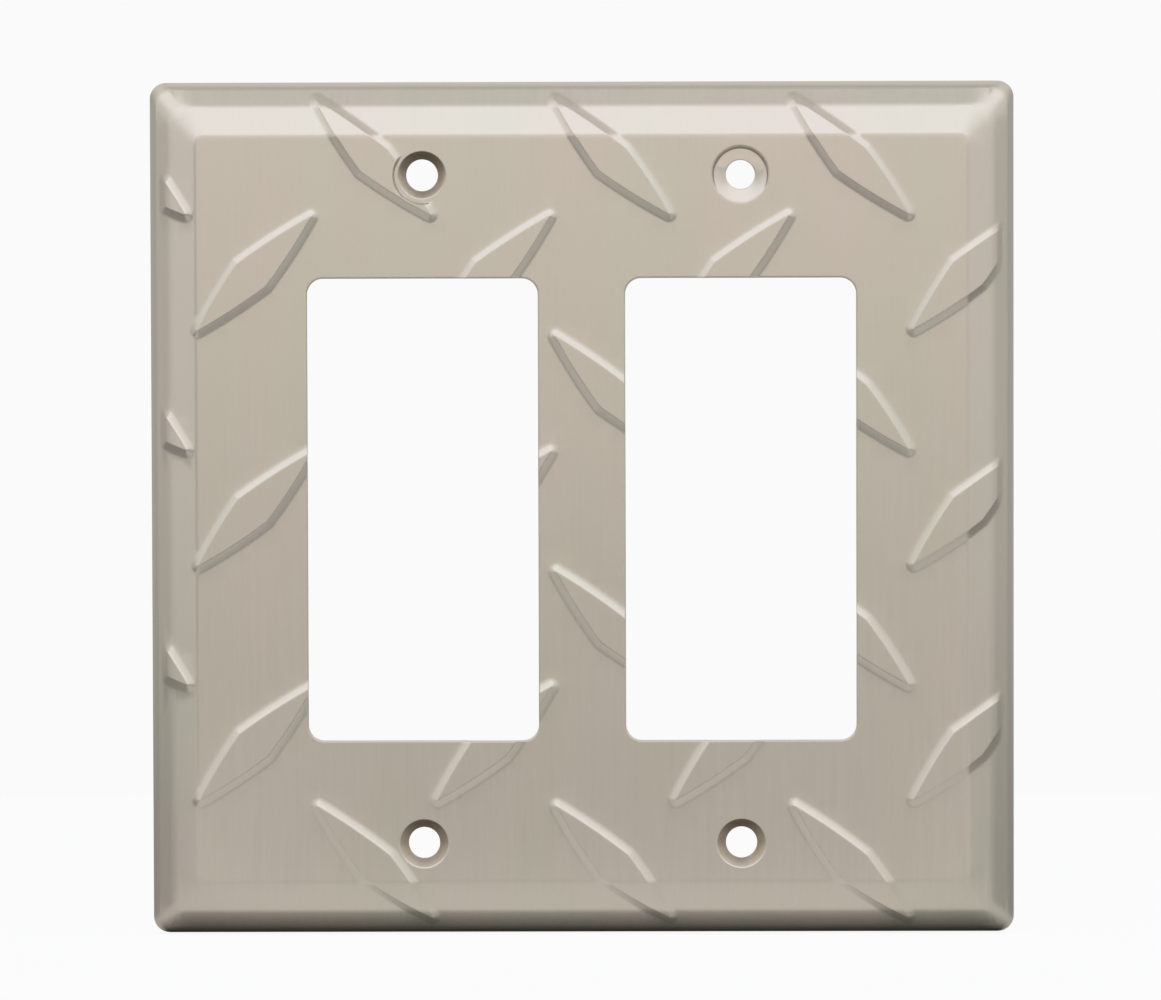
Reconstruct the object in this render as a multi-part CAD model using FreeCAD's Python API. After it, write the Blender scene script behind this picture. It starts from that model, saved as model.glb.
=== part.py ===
import FreeCAD, Part
import math
import os

# A two-gang cover plate pressed from one steel sheet with raised tread lugs.
# It stands upright as it does on the wall: X across, Z up, the front faces -Y and the
# rim's edge lies on the wall plane Y = 0. The origin is the middle of the plate.

Vec = FreeCAD.Vector

# Sheet and outline
PLATE_WIDTH = 125.4
PLATE_HEIGHT = 123.8
SHEET = 0.9
FRONT = 6.0              # the flat field stands this far in front of the wall
BREAK = 3.9              # and the break between the bevel's two facets this far
SIDE_BREAK, SIDE_CREASE = 3.2, 6.8     # inwards from the rim, left and right
END_BREAK, END_CREASE = 3.5, 7.7       # inwards from the rim, top and bottom
RIM_R, BREAK_R, CREASE_R = 2.35, 3.4, 1.7
INNER_RIM_R, INNER_BREAK_R, INNER_CREASE_R = 1.2, 2.8, 1.4
CREASE_BEND, BREAK_BEND = 1.6, 3.2     # outer radii of the bends

# Two devices side by side, and the screws that hold the plate to them
GANG = 46.04
DEVICE_WIDTH = 33.0
DEVICE_HEIGHT = 66.6
DEVICE_CLEARANCE = 0.2
WINDOW_R = 2.3
SCREW_SPACING = 96.84
SCREW_R = 1.75
SCREW_CLEARANCE = 0.55
COUNTERSINK_R, COUNTERSINK_DEPTH, COUNTERSINK_WALL = 3.4, 1.27, 0.5
DISH_R, DISH_DEPTH, DISH_WALL = 4.3, 0.5, 0.9
PRESSED_R = 3.95         # flat ring around a countersink, which cuts into a lug

# Tread lugs: a pointed plateau with a sloping flank of even width all round
LUG_HALF_LENGTH = 11.6
LUG_HALF_WIDTH = 2.5
LUG_BULGE = 0.38
LUG_HEIGHT = 0.55
LUG_TOP_R, LUG_FOOT_R = 0.2, 1.1
NOSE_FLATS = 3           # each end of a lug turns in this many small flats
PITCH_X = 34.75
PITCH_Z = 34.0
FALLING_X, FALLING_Z = 4.72, 17.0      # a lug that runs down to the right
RISING_X, RISING_Z = -12.65, 0.0       # a lug that runs up to the right
LEFT_STOP, RIGHT_STOP = 1.5, 1.9       # the tread ends this far inside the rim
STOP_RUN = 0.6                         # plan width of the face that ends a lug there

ROOT = 0.3               # how far a raised or hollow form reaches through its surface
REACH = 20.0             # past everything in front of and behind the sheet

HALF_W, HALF_H = PLATE_WIDTH / 2, PLATE_HEIGHT / 2
HOLE_R = SCREW_R + SCREW_CLEARANCE
FALLING, RISING = -math.pi / 4, math.pi / 4
# How far a lug's upper and lower corners sit from its middle, along it
CORNER_SHIFTS = {FALLING: (0.0, -0.3), RISING: (-0.9, -0.2)}
# Turn, first lug, columns and rows. The falling column at the far left is cut off by the rim.
TREAD = ((FALLING, FALLING_X, FALLING_Z, range(-1, 2), range(-2, 2)),
         (FALLING, FALLING_X, FALLING_Z, range(-2, -1), range(-1, 2)),
         (RISING, RISING_X, RISING_Z, range(-1, 3), range(-1, 2)))


def section_behind(run_break, run_crease):
    """The bevel's section at the back of the sheet: wall inset, steep angle, crease inset, break depth."""
    steep = math.atan2(BREAK, run_break)
    shallow = math.atan2(FRONT - BREAK, run_crease - run_break)
    middle, half = (steep + shallow) / 2, (steep - shallow) / 2
    depth = BREAK - SHEET * math.cos(middle) / math.cos(half)
    return SHEET / math.sin(steep), steep, run_crease + SHEET * math.tan(shallow / 2), depth


def bevel_rings():
    """Rings at the rim, the break and the crease: inset in X, inset in Z, depth, corner radius."""
    front = [(0.0, 0.0, 0.0, RIM_R), (SIDE_BREAK, END_BREAK, BREAK, BREAK_R),
             (SIDE_CREASE, END_CREASE, FRONT, CREASE_R)]
    wall_x, steep_x, crease_x, depth_x = section_behind(SIDE_BREAK, SIDE_CREASE)
    wall_z, steep_z, crease_z, depth_z = section_behind(END_BREAK, END_CREASE)
    depth = (depth_x + depth_z) / 2
    back = [(wall_x, wall_z, 0.0, INNER_RIM_R),
            (wall_x + depth / math.tan(steep_x), wall_z + depth / math.tan(steep_z),
             depth, INNER_BREAK_R),
            (crease_x, crease_z, FRONT - SHEET, INNER_CREASE_R)]
    return front, back


def rounded_rectangle(half_x, half_z, radius, y, centre_x=0.0):
    """A closed outline in the plane Y = y, four lines and four corners."""
    corners = [(1, 1), (-1, 1), (-1, -1), (1, -1)]
    edges = []
    for i, (sx, sz) in enumerate(corners):
        nx, nz = corners[(i + 1) % 4]
        in_x, in_z = (radius, 0) if sx != nx else (0, radius)
        start = Vec(sx * (half_x - in_x), y, sz * (half_z - in_z))
        end = Vec(nx * (half_x - in_x), y, nz * (half_z - in_z))
        turned = Vec(nx * (half_x - in_z), y, nz * (half_z - in_x))
        inset = radius * (1 - math.sqrt(0.5))
        middle = Vec(nx * (half_x - inset), y, nz * (half_z - inset))
        edges.append(Part.LineSegment(start, end).toShape())
        edges.append(Part.Arc(end, middle, turned).toShape())
    wire = Part.Wire(edges)
    wire.translate(Vec(centre_x, 0, 0))
    return wire


def solid_between(wires):
    """The solid between stacked outlines, flat where both are straight and ruled elsewhere."""
    faces = [Part.Face(wires[0]), Part.Face(wires[-1])]
    for lower, upper in zip(wires, wires[1:]):
        for low, high in zip(lower.OrderedEdges, upper.OrderedEdges):
            if isinstance(low.Curve, Part.Line):
                corners = [low.firstVertex(True).Point, low.lastVertex(True).Point,
                           high.lastVertex(True).Point, high.firstVertex(True).Point]
                faces.append(Part.Face(Part.makePolygon(corners + corners[:1])))
            else:
                faces.append(Part.makeRuledSurface(low, high))
    shell = Part.makeShell(faces)
    shell.sewShape()
    return Part.Solid(Part.makeSolid(shell))


def bevelled_block(rings, crease_bend, break_bend):
    """The solid inside one side of the sheet, with its two bends rounded."""
    block = solid_between([rounded_rectangle(HALF_W - in_x, HALF_H - in_z, radius, -depth)
                           for in_x, in_z, depth, radius in rings])
    for (_, _, depth, _), bend in ((rings[1], break_bend), (rings[2], crease_bend)):
        ring = [e for e in block.Edges if all(abs(v.Y + depth) < 1e-4 for v in e.Vertexes)]
        block = block.makeFillet(bend, ring)
    return block


def open_sheet(front, back):
    """The bevelled sheet before it is embossed, open towards the wall."""
    in_x, in_z = back[0][:2]
    mouth = Part.Face(rounded_rectangle(HALF_W - in_x, HALF_H - in_z, INNER_RIM_R, 0.0))
    sheet = bevelled_block(front, CREASE_BEND, BREAK_BEND)
    sheet = sheet.cut(bevelled_block(back, CREASE_BEND - SHEET, BREAK_BEND - SHEET))
    return sheet.cut(mouth.extrude(Vec(0, ROOT, 0)))


def facets(rings):
    """The flat facets of one side of the sheet: plane (a, b, c) of y = a + b x + c z, and plan box."""
    rim, brk, crease = rings
    field_x, field_z = HALF_W - crease[0], HALF_H - crease[1]
    found = [((-crease[2], 0.0, 0.0), (-field_x, field_x, -field_z, field_z))]
    for outer, inner in ((brk, crease), (rim, brk)):
        for axis, half in ((0, HALF_W), (1, HALF_H)):
            low, high = half - inner[axis], half - outer[axis]
            slope = (inner[2] - outer[2]) / (high - low)
            for side in (-1, 1):
                near, far = sorted((side * low, side * high))
                offset = -outer[2] - slope * high
                if axis == 0:
                    found.append(((offset, side * slope, 0.0), (near, far, -field_z, field_z)))
                else:
                    found.append(((offset, 0.0, side * slope), (-field_x, field_x, near, far)))
    return found


def on_plane(plane, x, z):
    return plane[0] + plane[1] * x + plane[2] * z


def lug_outline(half_length, half_width, shifts, spread, place):
    """A pointed outline spread evenly to all sides; place turns (along, across) into a point."""
    def outward(start, end):
        return Vec(end.y - start.y, start.x - end.x, 0).normalize()

    def bulged(start, end):
        return (start + end) * 0.5 + outward(start, end) * (2 * LUG_BULGE)

    def spread_corner(before, corner, after):
        n1, n2 = outward(before, corner), outward(corner, after)
        return corner + (n1 + n2) * (spread / (1 + n1.dot(n2)))

    tips = [Vec(half_length, 0, 0), Vec(-half_length, 0, 0)]
    corners = [Vec(shifts[0], half_width, 0), Vec(shifts[1], -half_width, 0)]
    loop = []
    for i in (0, 1):
        loop += [tips[i], bulged(tips[i], corners[i]), corners[i], bulged(corners[i], tips[1 - i])]
    edges = []
    for i in (0, 4):
        tip, first, corner, second = loop[i:i + 4]
        far_tip, beyond = loop[(i + 4) % 8], loop[(i + 5) % 8]
        start = tip + outward(tip, first) * spread
        end = far_tip + outward(second, far_tip) * spread
        shoulder = spread_corner(first, corner, second)
        edges.append([start, spread_corner(tip, first, corner), shoulder])
        edges.append([shoulder, spread_corner(corner, second, far_tip), end])
        turning = outward(second, far_tip).getAngle(outward(far_tip, beyond)) / NOSE_FLATS
        for _ in range(NOSE_FLATS):
            along = end - far_tip
            onward = far_tip + Vec(along.x * math.cos(turning) - along.y * math.sin(turning),
                                   along.x * math.sin(turning) + along.y * math.cos(turning), 0)
            edges.append([end, onward])
            end = onward
    wire = []
    for poles in edges:
        poles = [place(p.x, p.y) for p in poles]
        if len(poles) == 2:
            wire.append(Part.LineSegment(*poles).toShape())
        else:
            curve = Part.BezierCurve()
            curve.setPoles(poles)
            wire.append(curve.toShape())
    return Part.Wire(wire)


def lug_on_facet(centre, turn, plane, behind):
    """A lug raised from a facet, or the hollow that the same blow leaves behind it."""
    flank = math.atan2(LUG_HEIGHT, LUG_FOOT_R - LUG_TOP_R)
    inset = SHEET * math.tan(flank / 2) if behind else 0.0
    round_off = min(inset / 4, LUG_TOP_R / 2)
    cos_t, sin_t = math.cos(turn), math.sin(turn)
    wires = []
    for height in (-ROOT, LUG_HEIGHT):
        spread = LUG_TOP_R - round_off + (LUG_HEIGHT - height) / math.tan(flank)

        def place(along, across):
            x = centre[0] + along * cos_t - across * sin_t
            z = centre[1] + along * sin_t + across * cos_t
            return Vec(x, on_plane(plane, x, z) - height, z)

        core = inset - round_off
        wires.append(lug_outline(LUG_HALF_LENGTH - core, LUG_HALF_WIDTH - core,
                                 CORNER_SHIFTS[turn], spread, place))
    return solid_between(wires)


def stop_block(plane, edge, side):
    """Everything inboard of the line where the tread ends, with a sloping face along that line."""
    x0, x1 = edge, edge - side * STOP_RUN
    y0, y1 = on_plane(plane, x0, 0), on_plane(plane, x1, 0) - LUG_HEIGHT
    lean = (x1 - x0) / (y1 - y0)
    corners = [Vec(x0 + lean * (-REACH - y0), -REACH, -PLATE_HEIGHT),
               Vec(x0 + lean * (REACH - y0), REACH, -PLATE_HEIGHT),
               Vec(-side * REACH, REACH, -PLATE_HEIGHT), Vec(-side * REACH, -REACH, -PLATE_HEIGHT)]
    return Part.Face(Part.makePolygon(corners + corners[:1])).extrude(Vec(0, 0, 2 * PLATE_HEIGHT))


def lug_pieces(centre, turn, rings, behind):
    """A lug laid over each facet that it crosses, parted at the bends and ended at the stops."""
    reach = (LUG_HALF_LENGTH + LUG_FOOT_R) * math.cos(math.pi / 4) + LUG_FOOT_R
    x, z = centre
    pieces = []
    for plane, (x0, x1, z0, z1) in facets(rings):
        if x + reach < x0 or x - reach > x1 or z + reach < z0 or z - reach > z1:
            continue
        box = Part.makeBox(x1 - x0, 2 * REACH, z1 - z0, Vec(x0, -REACH, z0))
        lug = lug_on_facet(centre, turn, plane, behind).common(box)
        for side, stop in ((-1, LEFT_STOP), (1, RIGHT_STOP)):
            edge = side * (HALF_W - stop - (SHEET / 4 if behind else 0))
            if lug.Solids and side * x + reach > side * edge:
                lug = lug.common(stop_block(plane, edge, side))
        pieces += lug.Solids
    return pieces


def turned(profile, x, z):
    """A solid of revolution about a screw's axis from (radius, depth behind the flat field)."""
    points = [Vec(x + r, depth - FRONT, z) for r, depth in profile]
    face = Part.Face(Part.makePolygon(points + points[:1]))
    return face.revolve(Vec(x, 0, z), Vec(0, 1, 0), 360)


def screw_seat(x, z, mouth, depth, wall):
    """A seat pressed in around a screw: the metal that it pushes back, and its open middle."""
    lean = (mouth - HOLE_R) / depth
    back_mouth = mouth + SHEET * math.tan(math.atan2(1, lean) / 2)
    end = depth + wall
    back_end = max(back_mouth - lean * (end - SHEET), HOLE_R + SHEET / 2)
    metal = turned([(0, SHEET - ROOT), (back_mouth + lean * ROOT, SHEET - ROOT),
                    (back_end, end), (0, end)], x, z)
    middle = turned([(0, -ROOT), (mouth + lean * ROOT, -ROOT), (HOLE_R, depth),
                     (HOLE_R, end + ROOT), (0, end + ROOT)], x, z)
    return metal, middle


def cover_plate():
    front, back = bevel_rings()
    places = [((x0 + column * PITCH_X, z0 + row * PITCH_Z), turn)
              for turn, x0, z0, columns, rows in TREAD for column in columns for row in rows]
    raised = [s for centre, turn in places for s in lug_pieces(centre, turn, front, False)]
    hollows = [s for centre, turn in places for s in lug_pieces(centre, turn, back, True)]
    plate = open_sheet(front, back).fuse(raised).cut(Part.makeCompound(hollows))
    for gang in (-1, 1):
        x = gang * GANG / 2
        for end in (-1, 1):
            z = end * SCREW_SPACING / 2
            if gang > 0 and end > 0:   # this one is a wide shallow dish
                metal, middle = screw_seat(x, z, DISH_R, DISH_DEPTH, DISH_WALL)
            else:
                metal, middle = screw_seat(x, z, COUNTERSINK_R, COUNTERSINK_DEPTH, COUNTERSINK_WALL)
                press = Part.makeCylinder(PRESSED_R, REACH, Vec(x, -FRONT - REACH, z), Vec(0, 1, 0))
                plate = plate.cut(press)
            plate = plate.fuse(metal).cut(middle)
        window = rounded_rectangle(DEVICE_WIDTH / 2 + DEVICE_CLEARANCE,
                                   DEVICE_HEIGHT / 2 + DEVICE_CLEARANCE, WINDOW_R, -REACH, x)
        plate = plate.cut(Part.Face(window).extrude(Vec(0, 2 * REACH, 0)))
    return plate.removeSplitter()


plate = cover_plate()
print("solids", len(plate.Solids), "valid", plate.isValid(), "faces", len(plate.Faces),
      "volume", round(plate.Volume, 1))
os.makedirs("parts", exist_ok=True)
plate.Solids[0].exportStep("parts/cover_plate.step")
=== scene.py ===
import math

import bmesh
import bpy
import numpy as np
from mathutils import Matrix, Vector
from mathutils.geometry import delaunay_2d_cdt


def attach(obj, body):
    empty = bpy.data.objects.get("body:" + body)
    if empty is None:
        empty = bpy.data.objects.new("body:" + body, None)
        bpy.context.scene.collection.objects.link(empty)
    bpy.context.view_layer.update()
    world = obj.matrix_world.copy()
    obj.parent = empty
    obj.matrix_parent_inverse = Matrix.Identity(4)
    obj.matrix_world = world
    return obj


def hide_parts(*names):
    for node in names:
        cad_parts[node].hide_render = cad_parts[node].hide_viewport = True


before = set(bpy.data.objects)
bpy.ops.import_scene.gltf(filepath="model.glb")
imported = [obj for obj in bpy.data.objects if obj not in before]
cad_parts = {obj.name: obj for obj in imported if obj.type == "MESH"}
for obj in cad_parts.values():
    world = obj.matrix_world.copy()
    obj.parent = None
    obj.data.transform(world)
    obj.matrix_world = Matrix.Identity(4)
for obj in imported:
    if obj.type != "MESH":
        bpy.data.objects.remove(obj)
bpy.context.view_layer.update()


# The bent sheet. The plate is one steel sheet of 0.9 mm, drawn up into a flat field with a
# bevel of two facets all round, mitred at the corners; its rim lies on the wall.
# Sizes are in millimetres: across (x) and up (z) from the middle, depth in front of the wall.
SHEET = 0.9
HALF_W, HALF_H = 125.4 / 2, 123.8 / 2
FRONT, BREAK = 6.0, 3.9                # depth of the field and of the break in the bevel
SIDE_BREAK, SIDE_CREASE = 3.2, 6.8     # inwards from the rim, left and right
END_BREAK, END_CREASE = 3.5, 7.7       # inwards from the rim, top and bottom
ROLL_IN, ROLL_DEPTH = 0.65, 1.45       # where the rim starts to roll in to the wall
CREASE_BEND, SIDE_BREAK_BEND, END_BREAK_BEND, ROLL_BEND = 1.6, 7.0, 3.2, 3.4
BACK_BREAK_BEND = 2.3
FIELD_REACH, BACK_REACH = 16, 9        # ends of the sections: from the rim, and past the crease behind
# Corner radii of the rim, the break and the crease, each above and below
RADII = ((2.35, 2.35), (3.4, 1.6), (1.7, 1.5))
BACK_RADII = ((1.2, 1.2), (2.8, 1.3), (1.4, 1.2))
BEND_STEPS = 6


def bent_section(corners, bends):
    """Insets and depths along a section, with each inner corner bent to its radius."""
    points = [np.array(corners[0], float)]
    for before, corner, after, bend in zip(corners, corners[1:], corners[2:], bends):
        before, corner, after = (np.array(p, float) for p in (before, corner, after))
        into, out = corner - before, after - corner
        into, out = into / np.linalg.norm(into), out / np.linalg.norm(out)
        turn = math.acos(float(np.clip(into @ out, -1, 1)))
        run = bend * math.tan(turn / 2)
        inward = out - into
        centre = corner + inward / np.linalg.norm(inward) * bend / math.cos(turn / 2)
        for step in range(BEND_STEPS + 1):
            swing = turn * (step / BEND_STEPS - 0.5)
            toward = (corner - centre) / np.linalg.norm(corner - centre)
            side = np.array([-toward[1], toward[0]])
            side = side * np.sign(toward[0] * into[1] - toward[1] * into[0])
            points.append(centre + bend * (toward * math.cos(swing) + side * math.sin(swing)))
    return np.array(points).T


def contour_rings(side, end, radii):
    """Contour rings of the bevel: half sizes across and up, corner radii and depth."""
    (side_in, side_depth), (end_in, end_depth) = side, end
    mid_break, mid_crease = -2 - BEND_STEPS - BEND_STEPS // 2, -1 - BEND_STEPS // 2
    corner_at = [side_in[0], side_in[mid_break], side_in[mid_crease]]
    return [(HALF_W - inset, HALF_H - np.interp(depth, end_depth, end_in),
             [np.interp(inset, corner_at, radius) for radius in zip(*radii)], depth)
            for inset, depth in zip(side_in, side_depth)]


def behind_section(run_break, run_crease):
    """The corners of the bevel's section at the back of the sheet."""
    steep = math.atan2(BREAK, run_break)
    shallow = math.atan2(FRONT - BREAK, run_crease - run_break)
    depth = BREAK - SHEET * math.cos((steep + shallow) / 2) / math.cos((steep - shallow) / 2)
    wall = SHEET / math.sin(steep)
    crease = run_crease + SHEET * math.tan(shallow / 2)
    return [(wall, 0), (wall + depth / math.tan(steep), depth), (crease, FRONT - SHEET),
            (crease + BACK_REACH, FRONT - SHEET)]


bevels = ((SIDE_BREAK, SIDE_CREASE, SIDE_BREAK_BEND), (END_BREAK, END_CREASE, END_BREAK_BEND))
front_rings = contour_rings(*(
    bent_section([(0, 0), (ROLL_IN, ROLL_DEPTH), (run_break, BREAK), (run_crease, FRONT),
                  (FIELD_REACH, FRONT)], (ROLL_BEND, bend, CREASE_BEND))
    for run_break, run_crease, bend in bevels), RADII)
back_rings = contour_rings(*(
    bent_section(behind_section(run_break, run_crease), (BACK_BREAK_BEND, CREASE_BEND - SHEET))
    for run_break, run_crease, _ in bevels), BACK_RADII)


def from_rounded(points, half_x, half_z, radius, centre_x=0.0):
    """Distance of points outside a rounded rectangle, negative inside; a radius above and below."""
    radius = np.where(points[:, 1] < 0, *np.broadcast_to(radius, 2)[::-1])
    over = np.abs(points - (centre_x, 0)) - np.column_stack([half_x - radius, half_z - radius])
    return (np.hypot(*np.maximum(over, 0).T) + np.minimum(over.max(1), 0)) - radius


def bevel_depth(points, rings):
    """Depth of the bent sheet's surface at points in the plan."""
    away = np.array([from_rounded(points, *ring[:3]) for ring in rings])
    depths = np.array([ring[3] for ring in rings])
    within = (away <= 1e-6).sum(0)
    last = np.clip(within, 1, len(rings) - 1)
    outer, inner = -away[last - 1, range(len(points))], away[last, range(len(points))]
    share = np.clip(outer / np.maximum(outer + inner, 1e-9), 0, 1)
    depth = depths[last - 1] + share * (depths[last] - depths[last - 1])
    return np.where(within == 0, depths[0], np.where(within == len(rings), depths[-1], depth))


# The openings. Two windows for the devices and four pressed seats for the plate screws are
# stamped out of the flat field: three countersinks, of which the upper one has a flat ring that
# cuts into the lug beside it, and one wide uneven dish. The punch leaves a soft front edge.
GANG, SCREWS = 46.04, 96.84
WINDOW_X, WINDOW_Z, WINDOW_R = 33.4 / 2, 67.0 / 2, 2.3
EDGE_R = 0.22                          # of the soft edge round a window
PRESSED_RUN = 0.3                      # from a seat's flat ring up to the tread
HALF_BLEND = 0.6                       # how fast a seat's lower half turns into its upper one
CORNER_STEPS, RUN_STEP = 10, 2.2       # points in a corner, and the longest gap on a straight run
# The dish, outside its hole: radius, then pushed back below the screw and above it
DISH = ((3.75, 0.17, 0.93), (3.9, 0.1, 0.74), (4.03, 0.05, 0.14), (4.15, 0.02, 0.03), (4.3, 0, 0))
DISH_BEHIND = ((2.3, 0.76), (4.0, 0.06), (4.4, 0))
CONE_BEHIND = ((2.75, 0.87), (3.82, 0.04), (3.95, 0))
# Side, end, hole radius, radius of the flat ring and of the cone; the dish has neither
SEAT_KINDS = ((-1, 1, 2.3, 3.95, 3.4), (1, 1, 2.1, 0, 0),
              (-1, -1, 2.27, 3.65, 3.6), (1, -1, 2.27, 3.65, 3.6))
# Place, hole and ring radius, then the surfaces as (radius, pushed back): the front one below
# the screw, the front one above it and the back one
SEATS = []
for side, end, hole, ring, cone in SEAT_KINDS:
    if cone:
        lower = [(hole, cone - hole), (cone - 0.14, 0.13), (cone - 0.04, 0.05), (cone + 0.08, 0)]
        upper, behind = lower, [(hole, 0.87), *CONE_BEHIND]
    else:
        lower = [(hole, 1.0), (hole + 0.1, 0.92)] + [(radius, below) for radius, below, _ in DISH]
        upper = [(hole, 1.0), (hole + 0.1, 0.9)] + [(radius, above) for radius, _, above in DISH]
        behind = [(hole, 0.8), *DISH_BEHIND]
    SEATS.append((np.array([side * GANG / 2, end * SCREWS / 2]), hole, ring, lower, upper, behind))


def rounded_loop(half_x, half_z, radius, centre_x=0.0):
    """The outline of a rounded rectangle as a closed loop of points."""
    turns = np.linspace(0, math.pi / 2, CORNER_STEPS + 1)
    arc = np.array([np.cos(turns), np.sin(turns)]).T
    loop = []
    for sx, sz, c, s in ((1, 1, 1, 0), (-1, 1, 0, 1), (-1, -1, -1, 0), (1, -1, 0, -1)):
        turned = np.array([arc[:, 0] * c - arc[:, 1] * s, arc[:, 0] * s + arc[:, 1] * c]).T
        bend = np.broadcast_to(radius, 2)[int(sz < 0)]
        loop.append(turned * bend + (sx * (half_x - bend), sz * (half_z - bend)))
    straight = []
    for here, there in zip(loop, loop[1:] + loop[:1]):
        parts = math.ceil(np.abs(there[0] - here[-1]).sum() / RUN_STEP)
        straight += [here, here[-1] + (there[0] - here[-1]) * np.arange(1, parts)[:, None] / parts]
    return np.concatenate(straight) + (centre_x, 0)


def opening_depth(points, depth, behind):
    """The bent sheet's depth with its seats pressed back and its window edges rolled over."""
    depth = depth.copy()
    for place, hole, ring, lower, upper, at_back in SEATS:
        across, up = (points - place).T
        away = np.hypot(across, up)
        above = np.clip(0.5 + HALF_BLEND * up / np.maximum(away, hole), 0, 1)
        halves = (at_back, at_back) if behind else (lower, upper)
        below, over = (np.interp(away, *zip(*half)) for half in halves)
        depth -= below + (over - below) * above * above * (3 - 2 * above)
    if not behind:
        for side in (-1, 1):
            away = from_rounded(points, WINDOW_X, WINDOW_Z, WINDOW_R, side * GANG / 2)
            short = np.clip(EDGE_R - away, 0, EDGE_R)
            depth -= EDGE_R - np.sqrt(EDGE_R ** 2 - short ** 2)
    return depth


# The tread. Lugs in a raised diamond pattern, one leaning each way in turn, are pressed into
# the sheet from behind: a pointed plateau with a flank of even width all round it. They run
# over the bevel, and end in a small sloping face near the left and right rim.
LUG_HEIGHT = 0.55
TOP_RUN, FOOT_RUN = 0.07, 1.08         # the flank's run outside the plateau's outline
HOLLOW_INSET = 0.25                    # and how much less the blow shows at the back
PITCH_X, PITCH_Z = 34.53, 34.1
# Each lug's turn in degrees, how far its sides bulge and its corners about its middle. The rim
# lug is what is left of a falling one whose middle would be off the plate.
LUGS = {"Falling lug": (-45, 0.2, ((11.6, 0), (0.65, 2.25), (-11.6, 0), (0.15, -2.65))),
        "Rising lug": (45, 0.2, ((11.6, 0), (-0.7, 2.7), (-11.6, 0), (-0.1, -2.45))),
        "Rim lug": (0, 0.04, ((4.3, -3.6), (4.42, -6.98), (7.2, -8.05)))}
# Lug, middle of the lowest lug on the left, columns and rows
TREAD = (("Falling lug", 4.47 - PITCH_X, 16.9 - 2 * PITCH_Z, 3, 4),
         ("Rim lug", 4.47 - 2 * PITCH_X, 16.9 - PITCH_Z, 1, 3),
         ("Rising lug", -12.8 - PITCH_X, 0.2 - PITCH_Z, 4, 3))
STOPS = ((-1, HALF_W - 1.35), (1, HALF_W - 1.7))       # side, and where the tread ends
STOP_RUN = 0.8
SIDE_STEPS, TIP_STEP = 13, 0.2         # parts of a side, and radians a part round a corner
SAME_POINT = 1e-4


def lug_outline(lug, spread):
    """A lug's outline spread evenly outwards, about its own middle."""
    turn, bulge, corners = LUGS[lug]
    loop = []
    for here, there in zip(corners, corners[1:] + corners[:1]):
        here, there = np.array(here), np.array(there)
        along = there - here
        outward = np.array([along[1], -along[0]]) / np.linalg.norm(along)
        bulged = []
        for step in range(SIDE_STEPS + 1):
            t = step / SIDE_STEPS
            slope = along + outward * bulge * 4 * (1 - 2 * t)
            normal = np.array([slope[1], -slope[0]]) / np.linalg.norm(slope)
            bulged.append((here + along * t + outward * bulge * 4 * t * (1 - t), normal))
        loop.append(bulged)
    points = []
    for side, following in zip(loop, loop[1:] + loop[:1]):
        points += [point + normal * spread for point, normal in side]
        tip, leaving = side[-1]
        entering = following[0][1]
        turning = math.atan2(leaving[0] * entering[1] - leaving[1] * entering[0],
                             float(leaving @ entering))
        between = round(abs(turning) / TIP_STEP) if spread > 0 else 1
        for step in range(1, between):
            c, s = math.cos(turning * step / between), math.sin(turning * step / between)
            points.append(tip + spread * np.array([leaving[0] * c - leaving[1] * s,
                                                   leaving[0] * s + leaving[1] * c]))
    points = np.array(points)
    points = points[np.hypot(*(points - np.roll(points, 1, 0)).T) > SAME_POINT]
    c, s = math.cos(math.radians(turn)), math.sin(math.radians(turn))
    return points @ np.array([[c, s], [-s, c]])


def tread_share(points):
    """1 where the tread is pressed in full, falling to 0 in the seats' rings and past the stops."""
    share = np.ones(len(points))
    for place, _, ring, *_ in SEATS:
        run = (np.hypot(*(points - place).T) - ring) / PRESSED_RUN
        share = np.minimum(share, np.clip(run, 0, 1))
    for side, edge in STOPS:
        share = np.minimum(share, np.clip((edge - side * points[:, 0]) / STOP_RUN, 0, 1))
    return share * share * (3 - 2 * share)


# The plan of the sheet's mesh: its lines run along every bend, edge and lug, and once more just
# beside them, so that each small radius is smooth and the flats between stay flat. Front and
# back share the plan and meet at the rim and the openings.
LUG_LINES = (0.0, 0.1, 0.18, 0.28, 0.4, 0.6, 0.8, 0.95, 1.08, 1.22, 1.4)       # outwards
WINDOW_LINES = (0.0, 0.04, 0.1, 0.16, EDGE_R, EDGE_R + 0.15)                   # outwards
# Beside an edge: shares of a lug's outline, outwards from a seat, and inwards on the field
LUG_GUARDS, SEAT_GUARDS, FIELD_GUARD = (0.95, 0.84), (0.1, 0.3), 0.4
ROUND_STEPS, RUN_LINES = 64, 5
STOP_SPAN, STOP_STEP = 50, 5
GRID_STEP = 2.5
RIM_NEAR = 1e-3
lines = [rounded_loop(*ring[:3]) for ring in front_rings + back_rings]
half_x, half_z, corner, _ = front_rings[-1]
lines.append(rounded_loop(half_x - FIELD_GUARD, half_z - FIELD_GUARD, corner))
for side in (-1, 1):
    for out in WINDOW_LINES:
        lines.append(rounded_loop(WINDOW_X + out, WINDOW_Z + out, WINDOW_R + out, side * GANG / 2))
for place, hole, ring, lower, upper, at_back in SEATS:
    radii = {round(r, 3) for r, _ in lower + at_back} | {lower[-1][0] + out for out in SEAT_GUARDS}
    if ring:
        radii |= {ring + PRESSED_RUN * step / RUN_LINES for step in range(RUN_LINES + 1)}
    turns = np.arange(ROUND_STEPS) / ROUND_STEPS * 2 * math.pi
    lines += [place + r * np.array([np.cos(turns), np.sin(turns)]).T for r in sorted(radii)]
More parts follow.
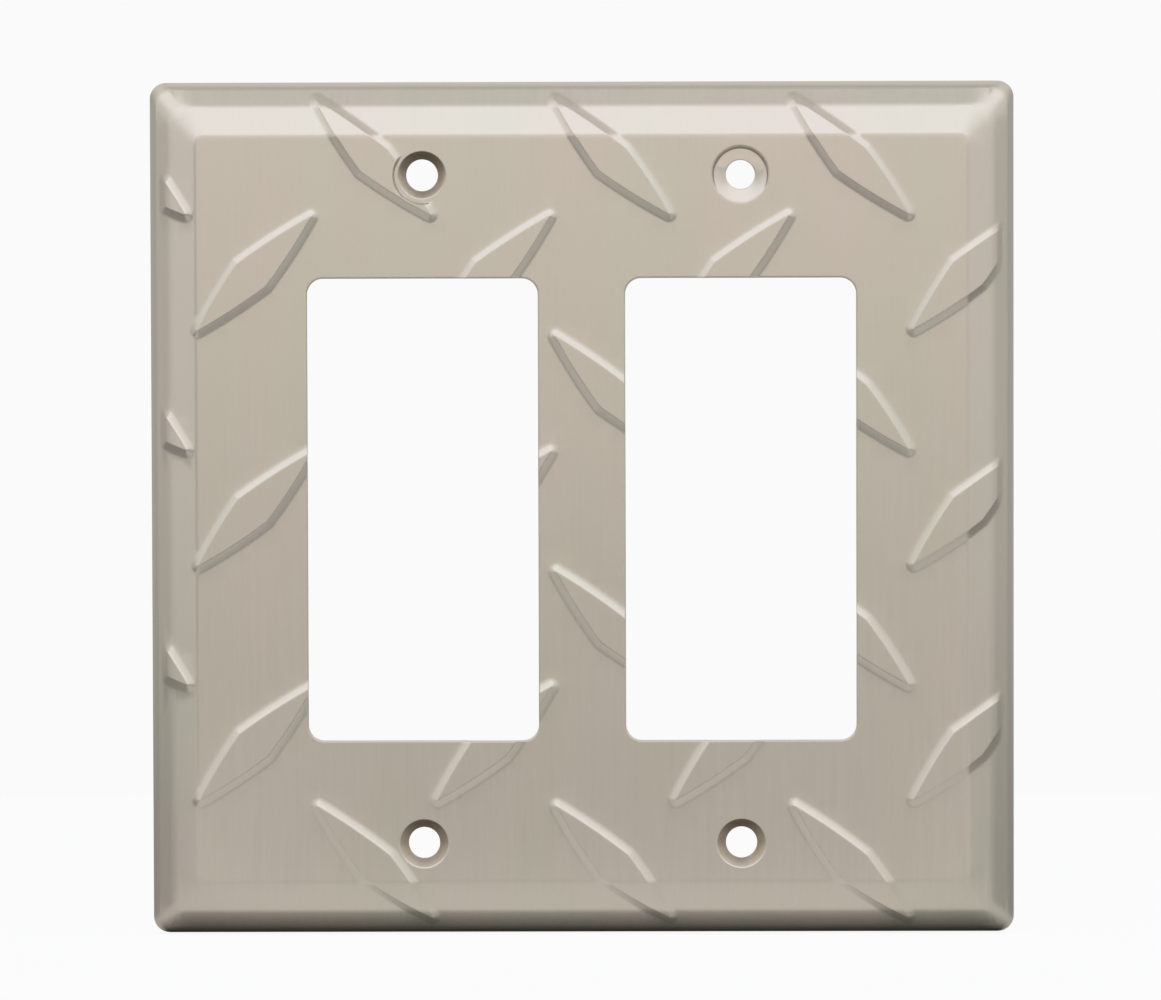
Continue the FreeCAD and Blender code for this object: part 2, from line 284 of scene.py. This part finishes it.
lugs = [np.array([x0 + column * PITCH_X, z0 + row * PITCH_Z])
        for _, x0, z0, columns, rows in TREAD for column in range(columns) for row in range(rows)]
kinds = [lug for lug, _, _, columns, rows in TREAD for _ in range(columns * rows)]
for place, lug in zip(lugs, kinds):
    lines += [lug_outline(lug, spread) + place for spread in LUG_LINES]
    core = lug_outline(lug, 0.0)
    lines += [(core - core.mean(0)) * share + core.mean(0) + place for share in LUG_GUARDS]

plan, links = [], []
for line in lines:
    first = len(plan)
    plan += [Vector(point) for point in line.tolist()]
    links += [(first + i, first + (i + 1) % len(line)) for i in range(len(line))]
for side, edge in STOPS:
    for step in range(RUN_LINES + 1):
        x = side * (edge - STOP_RUN * step / RUN_LINES)
        for z in range(-STOP_SPAN, STOP_SPAN, STOP_STEP):
            plan += [Vector((x, z)), Vector((x, z + STOP_STEP))]
            links.append((len(plan) - 2, len(plan) - 1))
for x in np.arange(-HALF_W + 1.7, HALF_W, GRID_STEP):
    plan += [Vector((x, z)) for z in np.arange(-HALF_H + 1.3, HALF_H, GRID_STEP)]
points, _, triangles, _, _, _ = delaunay_2d_cdt(plan, links, [], 0, 1e-5, False)
points = np.array([tuple(p) for p in points])
triangles = np.array(triangles)
middles = points[triangles].mean(1)
kept = from_rounded(middles, *front_rings[0][:3]) < 0
for side in (-1, 1):
    kept &= from_rounded(middles, WINDOW_X, WINDOW_Z, WINDOW_R, side * GANG / 2) > 0
for place, hole, *_ in SEATS:
    kept &= np.hypot(*(middles - place).T) > hole * math.cos(math.pi / ROUND_STEPS)
triangles = triangles[kept]
used = np.unique(triangles)
renumber = np.full(len(points), -1)
renumber[used] = np.arange(len(used))
points, triangles = points[used], renumber[triangles]

# Both skins and the cut edges that join them
count = len(points)
front = opening_depth(points, bevel_depth(points, front_rings), False)
back = opening_depth(points, bevel_depth(points, back_rings), True)
vertices = np.concatenate([np.column_stack([points[:, 0], -front, points[:, 1]]),
                           np.column_stack([points[:, 0], -back, points[:, 1]])]) / 1000
edges = dict.fromkeys(edge for a, b, c in triangles.tolist() for edge in ((a, b), (b, c), (c, a)))
rim = from_rounded(points, *front_rings[0][:3]) > -RIM_NEAR
faces = [tuple(t) for t in triangles.tolist()]
faces += [(c + count, b + count, a + count) for a, b, c in triangles.tolist()]
faces += [(b, a, a + count, b + count) for a, b in edges
          if (b, a) not in edges and not (rim[a] and rim[b])]
blank = bpy.data.meshes.new("blank")
blank.from_pydata(vertices.tolist(), [], faces)
blank.attributes.new("tread", "FLOAT", "POINT").data.foreach_set(
    "value", np.tile(tread_share(points), 2).astype("f"))
blank.attributes.new("behind", "FLOAT", "POINT").data.foreach_set(
    "value", np.repeat([0, 1], count).astype("f"))
plate = bpy.data.objects.new("CoverPlate", blank)
bpy.context.collection.objects.link(plate)


class Wire:
    """A socket of a node tree. Arithmetic on it adds Math nodes to the tree."""

    def __init__(self, tree, socket=None):
        self.tree, self.socket = tree, socket

    def node(self, kind, links=(), out=0, **settings):
        made = self.tree.nodes.new(kind)
        for name, value in settings.items():
            setattr(made, name, value)
        for key, value in dict(links).items():
            if isinstance(value, Wire):
                self.tree.links.new(value.socket, made.inputs[key])
            else:
                made.inputs[key].default_value = value
        return Wire(self.tree, made.outputs[out])

    def beside(self, name):
        """Another output of the same node."""
        return Wire(self.tree, self.socket.node.outputs[name])

    def math(self, operation, *values):
        return self.node("ShaderNodeMath", enumerate(values), operation=operation)

    def within(self, start, end):
        """0 before the start and 1 past the end, eased between."""
        return self.node("ShaderNodeMapRange", {"Value": self, "From Min": start, "From Max": end},
                         interpolation_type="SMOOTHSTEP")

    def mix(self, factor, colour, other):
        return self.node("ShaderNodeMix", {0: factor, 6: colour, 7: other}, 2, data_type="RGBA")

    def scaled(self, vector, by):
        return self.node("ShaderNodeVectorMath", {0: vector, 3: by}, operation="SCALE")

    def __add__(self, other):
        return self.math("ADD", self, other)

    __radd__ = __add__

    def __mul__(self, other):
        return self.math("MULTIPLY", self, other)

    __rmul__ = __mul__

    def __sub__(self, other):
        return self.math("SUBTRACT", self, other)

    def __rsub__(self, other):
        return self.math("SUBTRACT", other, self)

    def __truediv__(self, other):
        return self.math("DIVIDE", self, other)

    def __rtruediv__(self, other):
        return self.math("DIVIDE", other, self)


# The press: it repeats each lug over its lattice and moves the sheet out by the distance from
# the plateau, in full within it and down the flank, which is steeper beside the plateau and
# eases out at its foot. Lugs at the rim stand higher. Where two lattices meet, the higher stays.
press = bpy.data.node_groups.new("tread press", "GeometryNodeTree")
press.interface.new_socket(name="Sheet", in_out="OUTPUT", socket_type="NodeSocketGeometry")
sizes = {"Sheet": ("Geometry", None), **{lug: ("Object", None) for lug in LUGS},
         "Pitch across": ("Float", PITCH_X / 1000), "Pitch up": ("Float", PITCH_Z / 1000),
         "Lug height": ("Float", LUG_HEIGHT / 1000), "Top run": ("Float", TOP_RUN / 1000),
         "Foot run": ("Float", FOOT_RUN / 1000), "Hollow inset": ("Float", HOLLOW_INSET / 1000),
         "Rim lug height": ("Float", 1.5), "Rim lug run": ("Float", 1.2),
         "Foot steepness": ("Float", 0.92), "Top steepness": ("Float", 1.3),
         "Top setback": ("Float", 0.3), "Steepness blend": ("Float", 0.08),
         "Top rounding": ("Float", 0.07), "Foot rounding": ("Float", 0.34),
         "Finish": ("Material", None)}
for name, (kind, _) in sizes.items():
    press.interface.new_socket(name=name, in_out="INPUT", socket_type="NodeSocket" + kind)
given = press.nodes.new("NodeGroupInput")
size = {name: Wire(press, given.outputs[name]) for name in sizes}
wire = Wire(press)
here = wire.node("ShaderNodeSeparateXYZ", {"Vector": wire.node("GeometryNodeInputPosition")})
in_plan = wire.node("ShaderNodeCombineXYZ", {"X": here, "Z": here.beside("Z")})
share, behind = (wire.node("GeometryNodeInputNamedAttribute", {"Name": name}, data_type="FLOAT")
                 for name in ("tread", "behind"))
rise = 0.0
for lug, x0, z0, columns, rows in TREAD:
    across, up = size["Pitch across"], size["Pitch up"]
    grid = wire.node("GeometryNodeMeshGrid", {
        "Size X": across * (columns - 1), "Size Y": up * (rows - 1),
        "Vertices X": columns, "Vertices Y": rows})
    middle = wire.node("ShaderNodeCombineXYZ", {"X": across * ((columns - 1) / 2) + x0 / 1000,
                                                "Z": up * ((rows - 1) / 2) + z0 / 1000})
    stood = wire.node("GeometryNodeTransform", {"Geometry": grid, "Translation": middle,
                                                "Rotation": (math.pi / 2, 0, 0)})
    shape = wire.node("GeometryNodeObjectInfo", {"Object": size[lug]}, "Geometry")
    laid = wire.node("GeometryNodeRealizeInstances", {
        "Geometry": wire.node("GeometryNodeInstanceOnPoints", {"Points": stood, "Instance": shape})})
    away = wire.node("GeometryNodeProximity", {"Geometry": laid, "Sample Position": in_plan},
                     "Distance", target_element="FACES")
    if lug == "Rim lug":
        away = away / size["Rim lug run"]
    slope = ((size["Foot run"] - away - behind * size["Hollow inset"])
             / (size["Foot run"] - size["Top run"]))
    slope = wire.math("SMOOTH_MAX", slope * size["Foot steepness"],
                      slope * size["Top steepness"] - size["Top setback"], size["Steepness blend"])
    eased = wire.math("SMOOTH_MIN", slope, 1.0, size["Top rounding"])
    eased = wire.math("SMOOTH_MAX", eased, 0.0, size["Foot rounding"])
    if lug == "Rim lug":
        eased = eased * size["Rim lug height"]
    rise = wire.math("MAXIMUM", eased, rise)
raised = wire.node("GeometryNodeSetPosition", {
    "Geometry": size["Sheet"],
    "Offset": wire.node("ShaderNodeCombineXYZ", {"Y": rise * size["Lug height"] * share * -1.0})})
finished = wire.node("GeometryNodeSetMaterial", {
    "Geometry": wire.node("GeometryNodeRealizeInstances", {"Geometry": raised}),
    "Material": size["Finish"]})
press.links.new(finished.socket, press.nodes.new("NodeGroupOutput").inputs["Sheet"])


# The finish is satin nickel over fine upright brushing. The grain is long and narrow, and the
# plating drifts a little between warm and greenish from place to place. The cones around the
# screws are browner, and carry painted shade: slight below each screw, deep above it.
WARM, GREENISH, BROWN = (0.619, 0.559, 0.484, 1), (0.597, 0.563, 0.473, 1), (0.62, 0.54, 0.44, 1)
CONE_CLEAR, CONE_FULL = 0.00358, 0.00342       # from the screw, in metres
# Painted shade on the cones: it grows from its least below the screw to its most above it
SHADE_FROM, SHADE_TO = -0.001, 0.0028          # up from the screw, in metres
LEAST_PAINTED_SHADE, MOST_PAINTED_SHADE = 0.06, 0.75
GRAIN_TONE, ROUGHNESS, GRAIN_ROUGHNESS = 0.07, 0.3, 0.06
BUMP_STRENGTH, BUMP_DEPTH = 0.15, 0.00002
satin = bpy.data.materials.new("satin nickel")
satin.use_nodes = True
tree = satin.node_tree
wire = Wire(tree)
shader = tree.nodes["Principled BSDF"]
place = wire.node("ShaderNodeTexCoord", out="Object")


def streaks(across, along, detail):
    """Upright streaks of noise: repeats a metre across and along."""
    stretched = wire.node("ShaderNodeMapping", {"Vector": place, "Scale": (across, across / 4, along)})
    return wire.node("ShaderNodeTexNoise", {"Vector": stretched, "Scale": 1.0, "Detail": detail})


grain, fine, drift = streaks(1500, 60, 3.0), streaks(5200, 160, 2.0), streaks(70, 26, 1.0)
drifted = wire.node("ShaderNodeMapRange", {"Value": drift, "From Min": 0.35, "From Max": 0.65})
flat = wire.node("ShaderNodeVectorMath", {0: place, 1: (1, 0, 1)}, operation="MULTIPLY")
nearest = 1.0
for seat, _, ring, *_ in SEATS:
    if ring:
        spot = wire.node("ShaderNodeVectorMath", {0: flat, 1: (seat[0] / 1000, 0, seat[1] / 1000)},
                         "Value", operation="DISTANCE")
        nearest = wire.math("MINIMUM", spot, nearest)
cone = wire.node("ShaderNodeMapRange", {
    "Value": nearest, "From Min": CONE_CLEAR, "From Max": CONE_FULL})
up = wire.node("ShaderNodeSeparateXYZ", {"Vector": place}, "Z")
up = up - wire.math("SIGN", up) * (SCREWS / 2000)
# Painted shade on the cones, slight below each screw and deep above it
painted_cone_shade = wire.node("ShaderNodeMapRange", {
    "Value": up, "From Min": SHADE_FROM, "From Max": SHADE_TO, "To Min": LEAST_PAINTED_SHADE,
    "To Max": MOST_PAINTED_SHADE})
# The grain's own tone, times the painted shade on the cones
grain_and_painted_shade = (1 - GRAIN_TONE + (grain + fine) * GRAIN_TONE) * (1 - cone * painted_cone_shade)
base = wire.scaled(wire.mix(cone, wire.mix(drifted, WARM, GREENISH), BROWN), grain_and_painted_shade)
tree.links.new(base.socket, shader.inputs["Base Color"])
rough = ROUGHNESS + grain * GRAIN_ROUGHNESS + fine * GRAIN_ROUGHNESS
tree.links.new(rough.socket, shader.inputs["Roughness"])
bump = wire.node("ShaderNodeBump", {"Height": grain * 0.4 + fine * 0.6, "Strength": BUMP_STRENGTH,
                                    "Distance": BUMP_DEPTH})
tree.links.new(bump.socket, shader.inputs["Normal"])
shader.inputs["Metallic"].default_value = 1.0


# Pressing: the lugs are laid flat in the plan for the press, and the pressed sheet is kept as
# a plain mesh with its rim closed and its cut edges sharp.
patterns = {}
for name in LUGS:
    outline = lug_outline(name, 0.0) / 1000
    mesh = bpy.data.meshes.new(name)
    mesh.from_pydata([(px, 0, pz) for px, pz in outline.tolist()], [], [tuple(range(len(outline)))])
    patterns[name] = bpy.data.objects.new(name, mesh)
    bpy.context.collection.objects.link(patterns[name])
modifier = plate.modifiers.new("tread press", "NODES")
modifier.node_group = press
for socket in press.interface.items_tree:
    if socket.in_out == "INPUT" and socket.name != "Sheet":
        modifier[socket.identifier] = {"Finish": satin, **patterns}.get(
            socket.name, sizes[socket.name][1])
ready = plate.evaluated_get(bpy.context.evaluated_depsgraph_get())
pressed = bpy.data.meshes.new_from_object(ready)
plate.modifiers.clear()
plate.data = pressed
for pattern in patterns.values():
    bpy.data.objects.remove(pattern)
for name in ("tread", "behind"):
    pressed.attributes.remove(pressed.attributes[name])
MICRON = 1e-6
SHARP = math.radians(40)
closing = bmesh.new()
closing.from_mesh(pressed)
rim_points = [v for v in closing.verts if abs(v.co.y) < MICRON]
bmesh.ops.remove_doubles(closing, verts=rim_points, dist=MICRON)
bmesh.ops.recalc_face_normals(closing, faces=closing.faces)
for edge in closing.edges:
    edge.smooth = len(edge.link_faces) == 2 and edge.calc_face_angle() < SHARP
for face in closing.faces:
    face.smooth = True
print("open edges", sum(len(e.link_faces) != 2 for e in closing.edges),
      "faces", len(closing.faces), "volume mm3", closing.calc_volume() * 1e9)
closing.to_mesh(pressed)
closing.free()
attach(plate, "root")
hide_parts("cover_plate")


# The floor is a pale board, plain to the eye, that the plate stands on. Seen directly it is as
# white as the room behind it, with a faint painted contact shadow. In the metal it shows painted
# light: pale in a fan in front of the plate, dimmer in the fan's middle, a little paler under the
# plate itself, and a painted contact shadow where they touch.
FLOOR_MIDDLE, FLOOR_WIDTH, FLOOR_DEPTH, FLOOR_GAP = -0.23, 0.8, 0.94, 2e-5
TOUCH = 0.0035                         # how far the painted contact shadow reaches, in metres
DIFFUSE, MIRRORED, WHITE = (0.62, 0.62, 0.61), (0.83, 0.82, 0.81, 1), (1, 1, 1, 1)
GLOW, DIRECT_GLOW = 1.145, 0.8
FAN, FAN_DIP, FOOT, OPEN, LEAST = 0.46, 0.4, 0.13, 0.23, 0.03          # painted glow in the metal
bpy.ops.mesh.primitive_plane_add(size=1)
floor = bpy.context.object
floor.name = "Floor"
floor.data.transform(Matrix.Translation((0, FLOOR_MIDDLE, -HALF_H / 1000 - FLOOR_GAP))
                     @ Matrix.Diagonal((FLOOR_WIDTH, FLOOR_DEPTH, 1, 1)))
board = bpy.data.materials.new("pale board")
board.use_nodes = True
wire = Wire(board.node_tree)


def light_path(wire):
    """Camera, glossy and transmission rays as masks."""
    direct = wire.node("ShaderNodeLightPath", out="Is Camera Ray")
    return direct, direct.beside("Is Glossy Ray") + direct.beside("Is Transmission Ray")


direct, mirrored = light_path(wire)
across = wire.node("ShaderNodeSeparateXYZ", {"Vector": wire.node("ShaderNodeTexCoord", out="Object")})
ahead, aside = across.beside("Y"), wire.math("ABSOLUTE", across)
# Painted light on the board, seen only in the metal: a pale fan in front of the plate, a dimmer patch
# in its middle and a paler strip at its foot
fan = ahead.within(-0.21, -0.15) * (aside + ahead * 1.5).within(0.1, 0.03)
dip = ahead.within(-0.03, -0.06) * aside.within(0.08, 0.04)
foot = ahead.within(-0.016, -0.006) * aside.within(0.085, 0.062)
# Painted contact shadow: the board darkens where the plate is close above it
open_to = wire.node("ShaderNodeAmbientOcclusion", {"Distance": TOUCH}, "AO", samples=8)
# The board's pale, darkened by the painted contact shadow, and in the metal by painted shade outside
# the fan
pale = wire.scaled(DIFFUSE, open_to * (1 - mirrored * (1 - fan) * 0.5))
diffuse = wire.node("ShaderNodeBsdfDiffuse", {"Color": pale})
white = wire.node("ShaderNodeEmission", {"Color": wire.mix(direct, MIRRORED, WHITE),
                                         "Strength": GLOW})
# The painted glow that the metal sees on the board
painted_glow = open_to * open_to * (fan * (FAN - dip * FAN_DIP) + OPEN + foot * FOOT) + LEAST
mixed = wire.node("ShaderNodeMixShader", {
    0: direct * DIRECT_GLOW + mirrored * painted_glow, 1: diffuse, 2: white})
board.node_tree.links.new(mixed.socket, board.node_tree.nodes["Material Output"].inputs["Surface"])
floor.data.materials.append(board)


# The room is plain white. In the metal it is greyer out to the sides, low in front on the left
# and straight overhead, and a little warmer straight in front.
ROOM_WHITE, GREY_BESIDE, GREY_LOW_LEFT, GREY_OVERHEAD = 0.956, 0.385, 0.4, 0.12
WARM_AHEAD = (0.26, 0.205, 0.155)
FILL = 0.35                            # how strongly the room lights what isn't a mirror
world = bpy.data.worlds.new("studio")
bpy.context.scene.world = world
world.use_nodes = True
wire = Wire(world.node_tree)
direct, mirrored = light_path(wire)
x = wire.node("ShaderNodeSeparateXYZ", {"Vector": wire.node("ShaderNodeTexCoord", out="Generated")})
y, z = x.beside("Y"), x.beside("Z")
above = z.within(0.2, 0.7) * z.within(1.06, 0.78)
beside = y.within(-0.3, 0.15) * y.within(0.9, 0.75) * (1 - above)
low_left = y.within(-0.97, -0.93) * y.within(-0.72, -0.82) * (z + x * 0.35).within(0.1, -0.12)
greyer = beside * GREY_BESIDE + low_left * GREY_LOW_LEFT + z.within(0.92, 0.99) * GREY_OVERHEAD
plain = wire.scaled((1, 1, 1), ROOM_WHITE - greyer * (1 - direct))
warm = wire.scaled(WARM_AHEAD, y.within(-0.93, -0.985) * (1 - direct))
room = wire.node("ShaderNodeVectorMath", {0: plain, 1: warm}, operation="ADD")
back_light = world.node_tree.nodes["Background"]
world.node_tree.links.new(room.socket, back_light.inputs["Color"])
strength = FILL + (direct + mirrored) * (1 - FILL)
world.node_tree.links.new(strength.socket, back_light.inputs["Strength"])


# Plain soft studio light: a broad cool soft box above and in front, and a dim one overhead.
def soft_box(name, place, aim, across, along, radiance, colour):
    """A lamp of a given width and length, aimed at a point."""
    lamp = bpy.data.lights.new(name, "AREA")
    lamp.shape, lamp.size, lamp.size_y = "RECTANGLE", across, along
    lamp.energy, lamp.color = radiance * math.pi * across * along, colour
    box = bpy.data.objects.new(name, lamp)
    bpy.context.collection.objects.link(box)
    box.location = place
    box.rotation_euler = (Vector(aim) - Vector(place)).to_track_quat("-Z", "Y").to_euler()


soft_box("SoftBoxAbove", (0.0, -0.6, 0.8), (0, 0, 0), 2.4, 0.5, 0.76, (0.72, 0.79, 1.0))
soft_box("SoftBoxOverhead", (0.0, -0.02, 0.8), (0, -0.02, 0.06), 1.2, 0.3, 0.05, (0.74, 1.0, 0.97))

# The camera stands 1.2 m in front, turned so that the plate falls where the photograph shows it.
yaw, lift, roll = (math.radians(a) for a in (0.728, 2.705, -0.164))
distance, scale = 1.2, 6872.0          # metres, and pixels a metre at that distance
width, height, sensor = 1161, 1000, 36
middle_x, middle_y = 582.48, 507.65    # the pixel that shows the plate's middle
toward_camera = Vector((math.sin(yaw) * math.cos(lift), -math.cos(yaw) * math.cos(lift),
                        math.sin(lift)))
level = Vector((math.cos(yaw), math.sin(yaw), 0))
upright = toward_camera.cross(level)
right = level * math.cos(roll) + upright * math.sin(roll)
top = upright * math.cos(roll) - level * math.sin(roll)
camera = bpy.data.objects.new("Camera", bpy.data.cameras.new("Camera"))
bpy.context.collection.objects.link(camera)
stand = (toward_camera * distance - right * (middle_x - width / 2) / scale
         + top * (middle_y - height / 2) / scale)
camera.matrix_world = Matrix((
    (right.x, top.x, toward_camera.x, stand.x), (right.y, top.y, toward_camera.y, stand.y),
    (right.z, top.z, toward_camera.z, stand.z), (0, 0, 0, 1)))
camera.data.sensor_width = sensor
camera.data.lens = sensor * scale * distance / width
camera.data.clip_start, camera.data.clip_end = 0.05, 20
bpy.context.scene.camera = camera
bpy.context.scene.view_settings.view_transform = "Standard"
